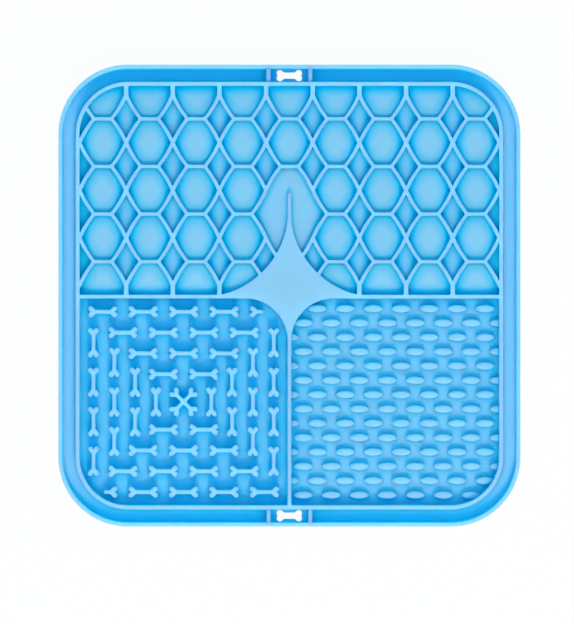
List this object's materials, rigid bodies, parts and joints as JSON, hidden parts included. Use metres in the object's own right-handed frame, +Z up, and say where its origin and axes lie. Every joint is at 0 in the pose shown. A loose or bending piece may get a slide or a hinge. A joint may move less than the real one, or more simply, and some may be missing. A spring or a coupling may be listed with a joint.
{
  "type": "lick mat",
  "caption": "Square silicone lick mat with honeycomb, raised-bone and nub fields around a flat star, a gutter with hanging holes, and suction cups below.",
  "frame": {"origin": "centre of the plane that the suction cups' lips rest on, below the mat's centre", "axes": "+Z up out of the patterned face, +Y towards the honeycomb field, +X towards the nub field"},
  "size_m": [0.2, 0.2, 0.01],
  "materials": {
    "blue_silicone": "matt moulded silicone with a soft sheen"
  },
  "bodies": {
    "root": {"base_sheet": "blue_silicone", "gutter_floor_left": "blue_silicone", "gutter_floor_right": "blue_silicone", "outer_rim": "blue_silicone", "inner_wall": "blue_silicone", "gutter_ribs": "blue_silicone", "hanging_tab_top": "blue_silicone", "hanging_tab_bottom": "blue_silicone", "divider_left": "blue_silicone", "divider_right": "blue_silicone", "divider_lower": "blue_silicone", "star_pad": "blue_silicone", "cell_ribs_level": "blue_silicone", "cell_ribs_posts": "blue_silicone", "cell_ribs_rising_right": "blue_silicone", "cell_ribs_rising_left": "blue_silicone", "cell_ribs_falling_right": "blue_silicone", "cell_ribs_falling_left": "blue_silicone", "bell_dome": "blue_silicone", "hexagon_pillows_row_1": "blue_silicone", "hexagon_pillows_row_2": "blue_silicone", "hexagon_pillows_row_3": "blue_silicone", "hexagon_pillows_row_4": "blue_silicone", "hexagon_pillows_row_5": "blue_silicone", "diamond_ridges_row_1": "blue_silicone", "diamond_ridges_row_2": "blue_silicone", "diamond_ridges_row_3": "blue_silicone", "diamond_ridges_row_4": "blue_silicone", "crossed_bones": "blue_silicone", "bone_ring_1": "blue_silicone", "bone_ring_2": "blue_silicone", "bone_ring_3": "blue_silicone", "bone_ring_4": "blue_silicone", "lens_nubs_row_1": "blue_silicone", "lens_nubs_row_2": "blue_silicone", "lens_nubs_row_3": "blue_silicone", "lens_nubs_row_4": "blue_silicone", "lens_nubs_row_5": "blue_silicone", "lens_nubs_row_6": "blue_silicone", "lens_nubs_row_7": "blue_silicone", "lens_nubs_row_8": "blue_silicone", "lens_nubs_row_9": "blue_silicone", "lens_nubs_row_10": "blue_silicone", "lens_nubs_row_11": "blue_silicone", "lens_nubs_row_12": "blue_silicone", "lens_nubs_row_13": "blue_silicone", "lens_nubs_row_14": "blue_silicone", "suction_cups_row_1": "blue_silicone", "suction_cups_row_2": "blue_silicone", "suction_cups_row_3": "blue_silicone", "suction_cups_row_4": "blue_silicone"}
  },
  "joints": []
}
